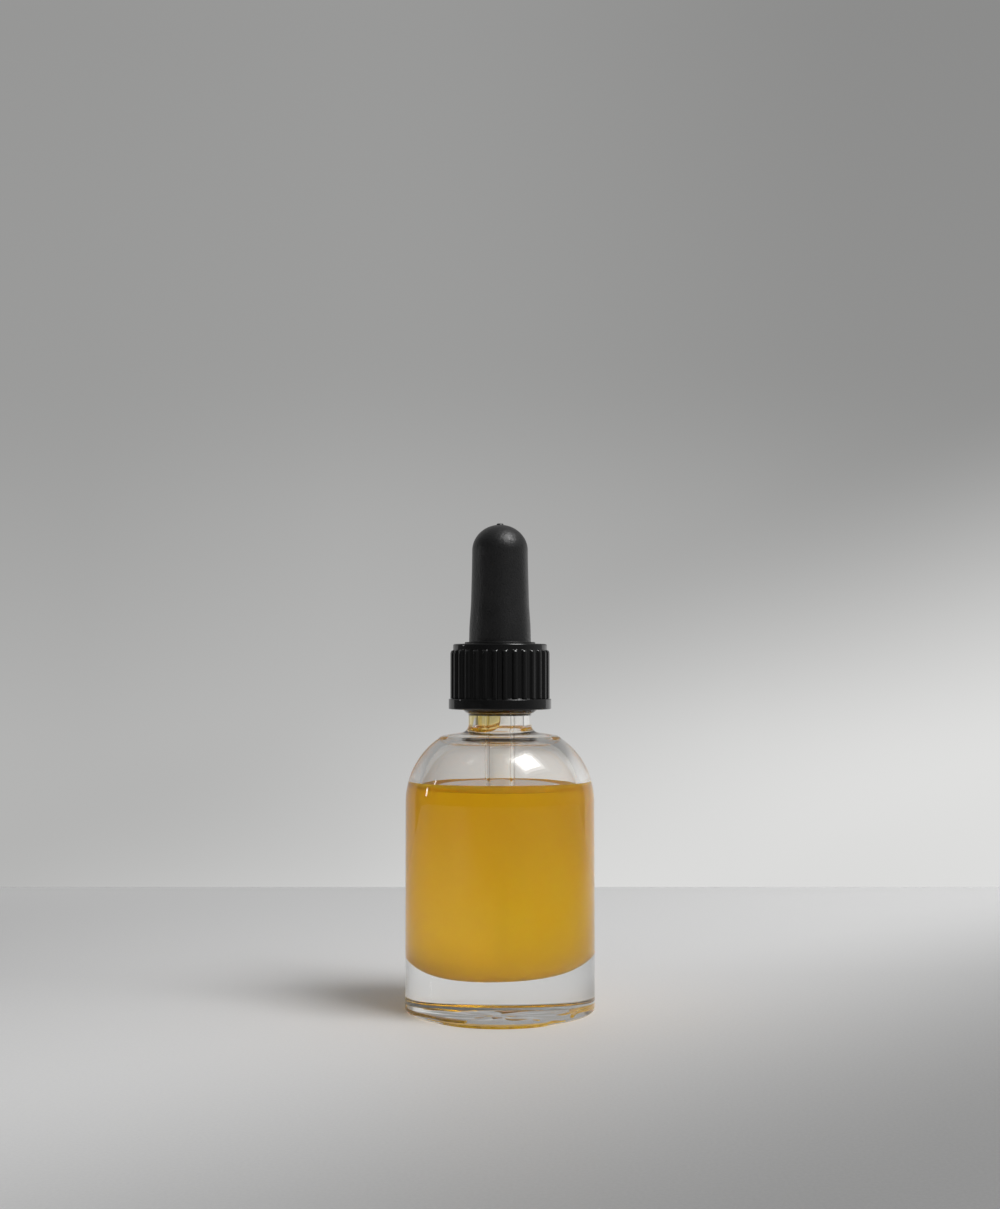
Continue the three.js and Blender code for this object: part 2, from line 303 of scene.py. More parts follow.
def turned(name, profile, segments, shape=None, sharp_deg=SHARP_DEG):
    """A profile turned round the Z axis.

    shape(angle, radius, height) gives a point's own radius and height.
    """
    closed = profile[0][0] > 1e-9
    verts, rings = [], []
    for radius, height in profile:
        if radius < 1e-9:
            rings.append([len(verts)])
            verts.append((0, 0, shape(0, 0, height)[1] if shape else height))
            continue
        ring = []
        for i in range(segments):
            angle = math.tau * i / segments
            r, z = shape(angle, radius, height) if shape else (radius, height)
            ring.append(len(verts))
            verts.append((r * math.cos(angle), r * math.sin(angle), z))
        rings.append(ring)
    faces = []
    for lower, upper in zip(rings, rings[1:] + ([rings[0]] if closed else [])):
        for i in range(segments):
            j = (i + 1) % segments
            if len(lower) == 1:
                faces.append((lower[0], upper[j], upper[i]))
            elif len(upper) == 1:
                faces.append((lower[i], lower[j], upper[0]))
            else:
                faces.append((lower[i], lower[j], upper[j], upper[i]))
    return mesh_object(name, verts, faces, sharp_deg)


def mesh_object(name, verts, faces, sharp_deg=SHARP_DEG):
    """A smooth-shaded object, its normals outwards, sharp where faces meet at more than sharp_deg."""
    mesh = bpy.data.meshes.new(name)
    mesh.from_pydata(verts, [], faces)
    bm = bmesh.new()
    bm.from_mesh(mesh)
    bmesh.ops.recalc_face_normals(bm, faces=bm.faces)
    for face in bm.faces:
        face.smooth = True
    for edge in bm.edges:
        edge.smooth = len(edge.link_faces) != 2 or edge.calc_face_angle() < math.radians(sharp_deg)
    bm.to_mesh(mesh)
    bm.free()
    made = bpy.data.objects.new(name, mesh)
    bpy.context.scene.collection.objects.link(made)
    return made


def thread_rise(angle, height, start, turns, rise, root, crest):
    """How far a screw thread's ridge stands out of its wall at one point of the wall."""
    most = 0
    for lap in range(math.ceil(turns) + 1):
        turn = angle / math.tau + lap
        if turn > turns:
            break
        away = abs(height - start - THREAD_PITCH * turn)
        share = min(1, max(0, (root - away) / (root - crest)))
        run_out = min(1, turn / THREAD_RUN_OUT_TURNS, (turns - turn) / THREAD_RUN_OUT_TURNS)
        most = max(most, share * share * (3 - 2 * share) * run_out)
    return rise * most


def rows(radius, low, high, step):
    """Closely spaced profile points on a straight wall, from low to high or from high to low."""
    count = math.ceil(abs(high - low) / step)
    return [(radius, low + (high - low) * i / count) for i in range(count + 1)]


# ---------------------------------------------------------------- materials

# The colour sockets of a Mix node
MIX_START, MIX_END, MIX_RESULT = 6, 7, 2


class Nodes:
    """A node tree with short ways to add and join nodes."""

    def __init__(self, tree):
        self.tree = tree

    def add(self, kind, **settings):
        node = self.tree.nodes.new(kind)
        for key, value in settings.items():
            setattr(node, key, value)
        return node

    def link(self, out, into):
        self.tree.links.new(out, into)

    def place(self, kind="Object"):
        """The X, Y and Z of one kind of texture coordinate."""
        split = self.add("ShaderNodeSeparateXYZ")
        self.link(self.add("ShaderNodeTexCoord").outputs[kind], split.inputs["Vector"])
        return split.outputs

    def noise(self, size, detail=2, roughness=0.5, stretch=(1, 1, 1)):
        """Noise whose features are about size metres across, in the object's own metres."""
        place = self.add("ShaderNodeTexCoord")
        scale = self.add("ShaderNodeMapping")
        scale.inputs["Scale"].default_value = [s / size for s in stretch]
        texture = self.add("ShaderNodeTexNoise")
        texture.inputs["Scale"].default_value = 1
        texture.inputs["Detail"].default_value = detail
        texture.inputs["Roughness"].default_value = roughness
        self.link(place.outputs["Object"], scale.inputs["Vector"])
        self.link(scale.outputs["Vector"], texture.inputs["Vector"])
        return texture.outputs["Fac"]

    def ranged(self, value, low, high, start=0.3, end=0.7, smooth=False):
        """value mapped from start..end to low..high."""
        spread = self.add("ShaderNodeMapRange")
        if smooth:
            spread.interpolation_type = "SMOOTHSTEP"
        for key, number in (("From Min", start), ("From Max", end), ("To Min", low), ("To Max", high)):
            spread.inputs[key].default_value = number
        self.link(value, spread.inputs["Value"])
        return spread.outputs["Result"]

    def maths(self, operation, a, b):
        """The result of one sum on two sockets or numbers."""
        node = self.add("ShaderNodeMath", operation=operation)
        for socket, value in zip(node.inputs, (a, b)):
            if isinstance(value, (int, float)):
                socket.default_value = value
            else:
                self.link(value, socket)
        return node.outputs["Value"]

    def mixed(self, share, start, end):
        """A colour between two, by share. start is a colour, or a socket that gives one."""
        mix = self.add("ShaderNodeMix", data_type="RGBA")
        if isinstance(start, tuple):
            mix.inputs[MIX_START].default_value = (*start, 1)
        else:
            self.link(start, mix.inputs[MIX_START])
        mix.inputs[MIX_END].default_value = (*end, 1)
        self.link(share, mix.inputs["Factor"])
        return mix.outputs[MIX_RESULT]


class MaterialNodes(Nodes):
    """A new material's nodes, round its Principled shader."""

    def __init__(self, name):
        self.material = bpy.data.materials.new(name)
        self.material.use_nodes = True
        super().__init__(self.material.node_tree)
        self.shader = self.tree.nodes["Principled BSDF"]
        self.output = self.tree.nodes["Material Output"]

    def set(self, **values):
        """Sets the shader's sockets to numbers: a name's spaces are written as underscores."""
        for key, value in values.items():
            self.shader.inputs[key.replace("_", " ")].default_value = value

    def drive(self, socket, value):
        """Links a value to one of the shader's sockets."""
        self.link(value, self.shader.inputs[socket])

    def height(self):
        """The height of the point on the object as it was made, in metres."""
        return self.place()["Z"]

    def height_moved(self):
        """The height that the point's body has taken it to, in metres."""
        split = self.add("ShaderNodeSeparateXYZ")
        self.link(self.add("ShaderNodeNewGeometry").outputs["Position"], split.inputs["Vector"])
        return split.outputs["Z"]

    def bump(self, height, distance, under=None):
        """A bump of distance metres into the shader's normal."""
        bump = self.add("ShaderNodeBump")
        bump.inputs["Distance"].default_value = distance
        bump.inputs["Strength"].default_value = 1
        self.link(height, bump.inputs["Height"])
        if under is not None:
            self.link(under, bump.inputs["Normal"])
        return bump.outputs["Normal"]

    def lamps_pass(self, tint):
        """Lets rays to lamps straight through, tinted, so that what is inside the glass is lit."""
        path = self.add("ShaderNodeLightPath")
        clear = self.add("ShaderNodeBsdfTransparent")
        clear.inputs["Color"].default_value = (*tint, 1)
        mix = self.add("ShaderNodeMixShader")
        self.link(path.outputs["Is Shadow Ray"], mix.inputs["Fac"])
        self.link(self.shader.outputs["BSDF"], mix.inputs[1])
        self.link(clear.outputs["BSDF"], mix.inputs[2])
        self.link(mix.outputs["Shader"], self.output.inputs["Surface"])


def glass_material(name, tint, ior, immersed_ior=None):
    """Clear polished glass, faintly wavy, with a film of oil left on it above the oil's level.

    A piece that stands in the oil has its own index below that level.
    """
    nodes = MaterialNodes(name)
    nodes.set(Roughness=0, IOR=ior, Transmission_Weight=1)
    filmed = nodes.ranged(nodes.height(), 0, 1, OIL_LEVEL - 1 * MM, OIL_LEVEL + 1 * MM)
    nodes.drive("Base Color", nodes.mixed(filmed, GLASS_COLOUR, FILMED_GLASS))
    wave = nodes.noise(6 * MM, detail=1, stretch=(1, 1, 0.5))
    nodes.drive("Normal", nodes.bump(wave, 0.02 * MM))
    if immersed_ior:
        nodes.drive("IOR", nodes.ranged(nodes.height_moved(), immersed_ior, ior, IMMERSED_FROM, IMMERSED_TO))
    nodes.lamps_pass(tint)
    return nodes.material


def oil_material(name, has_free_surface):
    """Cloudy amber oil that spreads the light going through it, with painted shade that makes it a little
    darker near its top.

    Its weak glow is painted light, standing in for light that has scattered many times, and it halves
    towards the top. The free surface is a mirror.
    """
    nodes = MaterialNodes(name)
    cloud = nodes.noise(9 * MM, stretch=(1, 1, 0.7))
    colour = nodes.mixed(nodes.ranged(cloud, 0, 1), (1.0, 0.57, 0.008), (1.0, 0.605, 0.012))
    # Painted shade: over the top 22 mm the oil's colour darkens and its painted glow halves.
    upper = nodes.ranged(nodes.height(), 0, 1, OIL_LEVEL - 22 * MM, OIL_LEVEL)
    nodes.drive("Base Color", nodes.mixed(upper, colour, (0.9, 0.47, 0.008)))
    nodes.set(IOR=OIL_IOR, Transmission_Weight=0.8, Subsurface_Weight=1, Subsurface_Scale=30 * MM)
    nodes.set(Subsurface_Radius=(1.0, 0.7, 0.3), Emission_Color=(1.0, 0.57, 0.01, 1))
    nodes.drive("Emission Strength", nodes.ranged(upper, OIL_GLOW, OIL_GLOW / 2, 0, 1))
    if has_free_surface:
        free = nodes.ranged(nodes.height(), 0, 1, OIL_LEVEL - 0.06 * MM, OIL_LEVEL - 0.03 * MM)
        nodes.drive("Roughness", nodes.ranged(free, OIL_CLOUDY_ROUGHNESS, OIL_CLEAR_ROUGHNESS, 0, 1))
        nodes.drive("Specular Tint", nodes.mixed(free, OIL_SHEEN, (1, 1, 1)))
        nodes.drive("Coat Weight", free)
        nodes.set(Coat_Roughness=0, Coat_IOR=1.6)
    else:
        nodes.set(Roughness=OIL_CLOUDY_ROUGHNESS, Specular_Tint=(*OIL_SHEEN, 1))
    return nodes.material


def oil_film_material():
    """A film of the same oil, thin enough to see through. Its foot is thicker and so darker."""
    thin = (0.97, 0.84, 0.42)
    nodes = MaterialNodes("oil_film")
    nodes.set(Roughness=0, IOR=OIL_IOR, Transmission_Weight=1)
    foot = nodes.ranged(nodes.height(), 1, 0, FILM_FOOT + 0.4 * MM, FILM_FOOT + 2.2 * MM, smooth=True)
    nodes.drive("Base Color", nodes.mixed(foot, thin, (0.93, 0.64, 0.08)))
    nodes.lamps_pass(thin)
    return nodes.material


def oil_column_material():
    """The oil in the pipette: amber when lifted out, and lost in the rest of the oil while in it."""
    nodes = MaterialNodes("oil_column")
    lifted = nodes.ranged(nodes.height_moved(), 0, 1, IMMERSED_FROM, IMMERSED_TO)
    cloud = nodes.noise(5 * MM)
    amber = nodes.mixed(nodes.ranged(cloud, 0, 1), (0.97, 0.62, 0.06), (0.99, 0.7, 0.1))
    nodes.drive("Base Color", nodes.mixed(nodes.maths("SUBTRACT", 1, lifted), amber, (1.0, 0.97, 0.85)))
    nodes.drive("IOR", nodes.ranged(lifted, COLUMN_IMMERSED_IOR, OIL_IOR, 0, 1))
    nodes.drive("Roughness", nodes.ranged(lifted, 0, 0.3, 0, 1))
    nodes.set(Transmission_Weight=1)
    nodes.lamps_pass((0.98, 0.8, 0.4))
    return nodes.material


def cap_material():
    """Glossy black moulded plastic with a little uneven gloss and faint scuffs."""
    nodes = MaterialNodes("black_gloss_plastic")
    patches = nodes.noise(3 * MM, detail=3)
    nodes.drive("Roughness", nodes.ranged(patches, 0.05, 0.11))
    speck = nodes.noise(0.25 * MM)
    colour = nodes.mixed(nodes.ranged(speck, 0, 1), (0.002, 0.002, 0.0022), (0.004, 0.004, 0.0043))
    nodes.drive("Base Color", colour)
    nodes.set(IOR=1.65)
    fine = nodes.bump(speck, 0.001 * MM)
    nodes.drive("Normal", nodes.bump(patches, 0.008 * MM, under=fine))
    return nodes.material


def rubber_material():
    """Matt black rubber with the fine grain of a textured mould."""
    nodes = MaterialNodes("black_matt_rubber")
    grain = nodes.noise(0.34 * MM, roughness=0.6)
    patches = nodes.noise(4 * MM, detail=3)
    colour = nodes.mixed(nodes.ranged(patches, 0, 1), (0.005, 0.005, 0.0055), (0.009, 0.009, 0.0095))
    nodes.drive("Base Color", colour)
    nodes.drive("Roughness", nodes.ranged(grain, 0.26, 0.44))
    nodes.drive("Normal", nodes.bump(grain, 0.085 * MM))
    nodes.set(IOR=1.52, Coat_Weight=0.3, Coat_Roughness=0.6, Coat_IOR=1.5)
    return nodes.material


def washer_material():
    """Natural translucent plastic."""
    nodes = MaterialNodes("natural_plastic")
    patches = nodes.noise(2 * MM)
    colour = nodes.mixed(nodes.ranged(patches, 0, 1), (0.7, 0.69, 0.65), (0.78, 0.77, 0.73))
    nodes.drive("Base Color", colour)
    nodes.set(Roughness=0.4, Subsurface_Weight=0.5, Subsurface_Scale=0.6 * MM)
    nodes.set(Subsurface_Radius=(1.0, 1.0, 0.9))
    return nodes.material


# ---------------------------------------------------------------- the object


def inner_wall():
    """The bottle's hollow, from its bore down to the middle of its floor."""
    bore_fillet = BORE_RADIUS + BORE_FILLET_RADIUS
    shoulder_centre = INNER_RADIUS - INNER_SHOULDER_WIDTH
    floor_corner = INNER_RADIUS - FLOOR_CORNER_WIDTH
    fillet_centre = INNER_SHOULDER_TOP + BORE_FILLET_RADIUS
    floor_centre = FLOOR_HEIGHT + FLOOR_CORNER_HEIGHT
    return [
        *arc(bore_fillet, fillet_centre, BORE_FILLET_RADIUS, BORE_FILLET_RADIUS, -180, -90, 16),
        *arc(shoulder_centre, INNER_SHOULDER_START, INNER_SHOULDER_WIDTH, INNER_SHOULDER_HEIGHT, 90, 0, 40),
        *arc(floor_corner, floor_centre, FLOOR_CORNER_WIDTH, FLOOR_CORNER_HEIGHT, 0, -90, 32),
        *[(floor_corner * share, FLOOR_HEIGHT) for share in (0.75, 0.5, 0.25, 0)],
    ]


def outer_wall():
    """The bottle's outside, from the middle of its underside up to the foot of its finish."""
    neck_fillet = NECK_RADIUS + NECK_FILLET_RADIUS
    ring_outer = BODY_RADIUS - CORNER_RADIUS
    bevel_start = RING_INNER_RADIUS - RING_BEVEL
    shoulder_centre = BODY_RADIUS - SHOULDER_RADIUS
    arc_end = math.radians(SHOULDER_ARC_DEG)
    edge_centre = shoulder_centre + SHOULDER_RADIUS * math.cos(arc_end) - SHOULDER_EDGE_IN
    edge_height = SHOULDER_START + SHOULDER_RADIUS * math.sin(arc_end) - SHOULDER_EDGE_DOWN
    fillet_height = SHOULDER_TOP + NECK_FILLET_RADIUS
    bevel = []
    for i in range(RING_BEVEL_STEPS + 1):
        share = i / RING_BEVEL_STEPS
        bevel.append((bevel_start + RING_BEVEL * share, PUSH_UP * (1 + math.cos(math.pi * share)) / 2))
    return [
        *[(bevel_start * share, PUSH_UP) for share in (0, 0.15, 0.3, 0.45, 0.6, 0.75, 0.9)],
        *bevel,
        *arc(ring_outer, CORNER_HEIGHT, CORNER_RADIUS, CORNER_HEIGHT, -90, 0, 14),
        *arc(shoulder_centre, SHOULDER_START, SHOULDER_RADIUS, SHOULDER_RADIUS, 0, SHOULDER_ARC_DEG, 44),
        *arc(edge_centre, edge_height, SHOULDER_EDGE_RADIUS, SHOULDER_EDGE_RADIUS, 48, 83, 8),
        *arc(neck_fillet, fillet_height, NECK_FILLET_RADIUS, NECK_FILLET_RADIUS, -97, -180, 14),
    ]


def finish_wall():
    """The screw finish: its outside with rows for the thread, its rim, and its bore down to the neck."""
    corner = 0.5 * MM
    bead_top = FINISH_START + FINISH_BEAD
    rim = RIM_HEIGHT - RIM_ROUND
    return [
        (NECK_RADIUS, FINISH_START - 0.6 * MM),
        *arc(NECK_RADIUS + corner, FINISH_START - corner, corner, corner, 180, 90, 4),
        *arc(FINISH_RADIUS - FINISH_BEAD, bead_top, FINISH_BEAD, FINISH_BEAD, -90, 0, 10),
        *rows(FINISH_RADIUS, bead_top + 0.2 * MM, RIM_HEIGHT - 1 * MM, THREAD_ROW),
        *arc(FINISH_RADIUS - RIM_ROUND, rim, RIM_ROUND, RIM_ROUND, 0, 90, 6),
        *arc(BORE_RADIUS + RIM_ROUND, rim, RIM_ROUND, RIM_ROUND, 90, 180, 6),
    ]


def blown(angle, radius, height, inner):
    """The slight unevenness of a moulded glass wall, in metres outwards."""
    if height > FINISH_START:
        return 0
    amount = INNER_UNEVENNESS if inner else OUTER_UNEVENNESS
    slow = math.sin(2 * angle + 0.7 + height / (11 * MM)) + 0.6 * math.sin(3 * angle - height / (7 * MM))
    return amount * slow * min(1, radius / (8 * MM))


def moulded(angle, radius):
    """The unevenness of the bottle's underside inside its standing ring, in metres upwards."""
    inside = min(1, max(0, (RING_INNER_RADIUS - radius) / (2 * MM)))
    waves = math.sin(5 * angle + 0.4) * math.sin(radius / (1.3 * MM))
    waves += math.sin(9 * angle + radius / (2 * MM))
    round_by = (angle - UNDERSIDE_MARK_ANGLE) / UNDERSIDE_MARK_SPREAD
    out_by = (radius - UNDERSIDE_MARK_RADIUS) / UNDERSIDE_MARK_WIDTH
    mark = math.exp(-(round_by**2) - out_by**2)
    return inside * (UNDERSIDE_WAVE * waves + UNDERSIDE_MARK * mark)


def tilt(angle, radius, height):
    """The rise of the bottle's inner floor towards +X, in metres: it fades out up the wall."""
    fade = max(0, 1 - (height - FLOOR_HEIGHT) / (2 * FLOOR_CORNER_HEIGHT))
    return FLOOR_SLOPE * radius * math.cos(angle) * fade


def make_bottle():
    """The glass bottle, with its thread, its uneven walls and its moulded underside."""
    profile = outer_wall() + finish_wall() + inner_wall()
    first_inner = len(profile) - len(inner_wall())
    inner_points = {profile[i] for i in range(first_inner, len(profile))}

    def shape(angle, radius, height):
        if abs(radius - FINISH_RADIUS) < SAME:
            return radius + thread_rise(angle, height, **BOTTLE_THREAD), height
        inner = (radius, height) in inner_points
        if height <= PUSH_UP and radius < RING_INNER_RADIUS:
            return radius, max(0, height + moulded(angle, radius))
        rise = tilt(angle, radius, height) if inner else 0
        return radius + blown(angle, radius, height, inner), height + rise

    bottle = turned("glass_bottle", profile, GLASS_SEGMENTS, shape)
    bottle.data.materials.append(glass_material("flint_glass", GLASS_COLOUR, GLASS_IOR))
    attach(bottle, "bottle")
    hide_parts("bottle")


def wetted_wall():
    """The part of the bottle's hollow that the oil wets, from the middle of the floor up."""
    wall = [point for point in reversed(inner_wall()) if point[1] < OIL_LEVEL]
    made = []
    for i, (radius, height) in enumerate(wall):
        after = wall[min(i + 1, len(wall) - 1)]
        before = wall[max(i - 1, 0)]
        along = Vector(after) - Vector(before)
        out = Vector((along.y, -along.x)).normalized() * WETTED
        made.append((max(0, radius + out.x) if radius > 0 else 0, height + out.y))
    return made


def shoulder_radius(height):
    """The inner radius of the bottle's shoulder at one height."""
    share = max(0, height - INNER_SHOULDER_START) / INNER_SHOULDER_HEIGHT
    return INNER_RADIUS - INNER_SHOULDER_WIDTH * (1 - math.sqrt(1 - share**2))


def make_oil():
    """The body of cloudy oil, flat on top."""
    surface = shoulder_radius(OIL_LEVEL) + WETTED
    top = [(surface * share, OIL_LEVEL) for share in SURFACE_STEPS]
    profile = [*wetted_wall(), (surface, OIL_LEVEL - 0.02 * MM), *top]

    def shape(angle, radius, height):
        if height >= OIL_LEVEL:
            return radius, height
        return radius + blown(angle, radius, height, True), height + tilt(angle, radius, height)

    oil = turned("oil", profile, GLASS_SEGMENTS, shape)
    oil.data.materials.append(oil_material("amber_oil", has_free_surface=True))
    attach(oil, "bottle")


def make_meniscus():
    """The rim of cloudy oil that climbs the glass round the oil's surface."""
    foot = OIL_LEVEL - WETTED
    reach = 4.5 * MENISCUS_WIDTH
    wall_steps, surface_steps = 12, 28
    outside = []
    for i in range(wall_steps + 1):
        height = foot + (OIL_LEVEL + MENISCUS_RISE - foot) * i / wall_steps
        outside.append((shoulder_radius(height) + WETTED, height))
    inside = []
    for i in range(1, surface_steps + 1):
        # The points are closest together at the glass, where the oil is steepest.
        away = reach * (i / surface_steps) ** 1.6
        rise = math.exp(-away / MENISCUS_WIDTH) - math.exp(-reach / MENISCUS_WIDTH)
        height = OIL_LEVEL + MENISCUS_RISE * rise
        inside.append((min(outside[-1][0], shoulder_radius(height)) - away, height))

    def climbing(angle, radius, height):
        """The oil has climbed all the way up the front, and a tenth of it up the back."""
        share = 0.55 - 0.45 * math.sin(angle)
        lowered = foot + (height - foot) * share
        return radius + shoulder_radius(lowered) - shoulder_radius(height), lowered

    ring = turned("oil_meniscus", [*outside, *inside, (inside[-1][0], foot)], GLASS_SEGMENTS, climbing)
    ring.data.materials.append(oil_material("oil_rim", has_free_surface=False))
    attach(ring, "bottle")


def rib_rise(angle):
    """0 between the cap's ribs, 1 on their crests, round in between."""
    pitch = 360 / RIB_COUNT
    away = abs((math.degrees(angle) + pitch / 2) % pitch - pitch / 2)
    share = min(1, max(0, (RIB_HALF_ROOT_DEG - away) / (RIB_HALF_ROOT_DEG - RIB_HALF_CREST_DEG)))
    return math.sqrt(1 - (1 - share) ** 2)


def make_cap():
    """Band, ribbed skirt with round rib ends, smooth rim and top, and the hollow with its thread."""
    bottom, top = CAP_LOW.z, CAP_HIGH.z
    hollow_top = top - CAP_PANEL
    ribs = rows(CAP_RADIUS, BAND_TOP + 0.06 * MM, RIB_TOP - RIB_END_ROUND, 1 * MM)
    rib_ends = rows(CAP_RADIUS, RIB_TOP - RIB_END_ROUND, RIB_TOP, 0.04 * MM)[1:]
    outside = softened(
        [
            (CAP_BORE_RADIUS + CAP_MOUTH, bottom),
            (BAND_RADIUS, bottom),
            (BAND_RADIUS, BAND_TOP),
            (CAP_RADIUS, BAND_TOP),
            (CAP_RADIUS, BAND_TOP + 1 * MM),
        ],
        CAP_BAND_ROUND,
    )[:-1]
    crown = softened(
        [
            (CAP_RADIUS, RIB_TOP + 0.1 * MM),
            (CAP_RADIUS, top),
            (CAP_HOLE_RADIUS, top),
            (CAP_HOLE_RADIUS, hollow_top),
            (CAP_BORE_RADIUS, hollow_top),
            (CAP_BORE_RADIUS, hollow_top - 1 * MM),
        ],
        CAP_CROWN_ROUND,
    )
    thread_wall = rows(CAP_BORE_RADIUS, hollow_top - 1.2 * MM, bottom + 1 * MM, THREAD_ROW)
    profile = supported([*outside, *ribs, *rib_ends, *crown, *thread_wall], closed=True)

    def shape(angle, radius, height):
        if abs(radius - CAP_RADIUS) < SAME and BAND_TOP < height <= RIB_TOP:
            past = max(0, height - RIB_TOP + RIB_END_ROUND) / RIB_END_ROUND
            return radius + RIB_RISE * rib_rise(angle) * math.sqrt(max(0, 1 - past * past)), height
        if abs(radius - CAP_BORE_RADIUS) < SAME:
            return radius + thread_rise(angle, height, **CAP_THREAD), height
        return radius, height

    cap = turned("screw_cap", profile, CAP_SEGMENTS, shape, sharp_deg=CAP_SHARP_DEG)
    cap.data.materials.append(cap_material())
    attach(cap, "cap")
    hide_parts("cap")


def make_bulb():
    """The teat above the cap, and the collar that stays round in the cap's hole when it is squeezed."""
    rubber = rubber_material()
    base, inner_base = LIP_TOP, BULB_BASE_RADIUS - BULB_WALL
    flare = [(BULB_DOME_RADIUS + extra * MM, height * MM) for height, extra in BULB_SIDE]
    side = [(BULB_BASE_RADIUS, base), *flare, (BULB_DOME_RADIUS, BULB_DOME_START)]
    nub_side = BULB_NUB_RADIUS - BULB_NUB_ROUND
    nub_top = BULB_HIGH.z
    teat = [
        *arc(0, BULB_DOME_START, BULB_DOME_RADIUS - BULB_WALL, BULB_DOME_HEIGHT - BULB_WALL, 90, 0, 16),
        (inner_base, base + BULB_WALL),
        (inner_base, base),
        (BULB_BASE_RADIUS, base),
        *smooth_curve(side, 10)[1:],
        *arc(0, BULB_DOME_START, BULB_DOME_RADIUS, BULB_DOME_HEIGHT, 0, 82, 26)[1:],
        *arc(nub_side, nub_top - BULB_NUB_ROUND, BULB_NUB_ROUND, BULB_NUB_ROUND, 0, 90, 4),
        (0, nub_top),
    ]
    bulb = turned("rubber_bulb", supported(teat), SMALL_SEGMENTS)
    collar = turned(
        "bulb_collar",
        supported(
            softened(
                [
                    (BULB_SOCKET_RADIUS, WASHER_HIGH.z),
                    (FLANGE_RADIUS, WASHER_HIGH.z),
                    (FLANGE_RADIUS, CAP_HIGH.z - CAP_PANEL),
                    (BULB_NECK_RADIUS, CAP_HIGH.z - CAP_PANEL),
                    (BULB_NECK_RADIUS, CAP_HIGH.z),
                    (LIP_RADIUS, CAP_HIGH.z),
                    (LIP_RADIUS, LIP_TOP),
                    (BULB_SOCKET_RADIUS, LIP_TOP),
                ],
                COLLAR_ROUND,
                closed=True,
            ),
            closed=True,
        ),
        SMALL_SEGMENTS,
    )
    for piece in (bulb, collar):
        piece.data.materials.append(rubber)
        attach(piece, "dropper")
        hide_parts("bulb")
    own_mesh(bulb)


def smooth_curve(points, steps):
    """Points along a Catmull-Rom curve through the given ones."""
    made = []
    padded = [points[0], *points, points[-1]]
    for i in range(len(points) - 1):
        p0, p1, p2, p3 = (Vector(p) for p in padded[i : i + 4])
        for k in range(steps):
            t = k / steps
            spot = p1 * 2 + (p2 - p0) * t
            spot += (p0 * 2 - p1 * 5 + p2 * 4 - p3) * t**2 + (p1 * 3 - p0 - p2 * 3 + p3) * t**3
            made.append(tuple(spot / 2))
    made.append(points[-1])
    return made


def make_washer():
    """The flat ring between the bottle's rim and the bulb's flange."""
    profile = [
        (WASHER_HOLE_RADIUS, WASHER_LOW.z),
        (WASHER_HIGH.x, WASHER_LOW.z),
        (WASHER_HIGH.x, WASHER_HIGH.z),
        (WASHER_HOLE_RADIUS, WASHER_HIGH.z),
    ]
    soft = softened(profile, WASHER_ROUND, closed=True)
    washer = turned("sealing_washer", supported(soft, closed=True), SMALL_SEGMENTS)
    washer.data.materials.append(washer_material())
    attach(washer, "washer")
    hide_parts("seal_washer")


def pipette_side(radius, tip_radius, low, high):
    """A tube's side from its tip up its taper to its top."""
    length = PIPETTE_TAPER_TOP - low
    shape = [
        (tip_radius, low),
        (tip_radius + 0.15 * (radius - tip_radius), low + length * 0.25),
        (radius - 0.1 * (radius - tip_radius), low + length * 0.78),
        (radius, PIPETTE_TAPER_TOP),
    ]
    return [*smooth_curve(shape, 8), (radius, high)]


def make_pipette():
    """The glass tube with its tapered tip, fire-polished at both ends."""
    low, high = PIPETTE_LOW.z, PIPETTE_HIGH.z
    rim_height = high - PIPETTE_RIM_ROUND
    outside = pipette_side(PIPETTE_RADIUS, PIPETTE_TIP_RADIUS, low + 0.3 * MM, rim_height)
    inside = pipette_side(PIPETTE_BORE_RADIUS, PIPETTE_ORIFICE_RADIUS, low + 0.2 * MM, high - 0.3 * MM)
    tip_half = (PIPETTE_TIP_RADIUS - PIPETTE_ORIFICE_RADIUS) / 2
    rim_half = (PIPETTE_RADIUS - PIPETTE_BORE_RADIUS) / 2
    tip_middle, rim_middle = PIPETTE_ORIFICE_RADIUS + tip_half, PIPETTE_BORE_RADIUS + rim_half
    # The round tip and rim take the place of the sides' own ends.
    tip = arc(tip_middle, low + PIPETTE_TIP_ROUND, tip_half, PIPETTE_TIP_ROUND, 180, 360, 10)
    rim = arc(rim_middle, rim_height, rim_half, PIPETTE_RIM_ROUND, 0, 180, 10)
    profile = [*tip, *outside[1:-1], *rim, *reversed(inside[1:-1])]
    pipette = turned("glass_pipette", supported(profile, closed=True), SMALL_SEGMENTS)
    glass = glass_material("pipette_flint_glass", PIPETTE_TINT, PIPETTE_IOR, PIPETTE_IMMERSED_IOR)
    pipette.data.materials.append(glass)
    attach(pipette, "dropper")
    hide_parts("pipette")


def make_oil_in_pipette():
    """The column of oil that stays in the pipette, up to the level of the oil in the bottle."""
    low = PIPETTE_LOW.z + COLUMN_FOOT
    side = pipette_side(PIPETTE_BORE_RADIUS, PIPETTE_ORIFICE_RADIUS, low, OIL_LEVEL)
    wetted = [(radius + WETTED, height) for radius, height in side]
    top = arc(0, OIL_LEVEL, PIPETTE_BORE_RADIUS + WETTED, COLUMN_DIP, 0, -90, 10)[1:]
    column = turned("oil_in_pipette", [(0, low), *wetted, *top], SMALL_SEGMENTS)
    column.data.materials.append(oil_column_material())
    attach(column, "dropper")


def bore_radius(height):
    """The radius of the neck's bore, and of its flare into the shoulder, at one height."""
    below = max(0, INNER_SHOULDER_TOP + BORE_FILLET_RADIUS - height) / BORE_FILLET_RADIUS
    return BORE_RADIUS + BORE_FILLET_RADIUS * (1 - math.sqrt(max(0, 1 - below**2)))


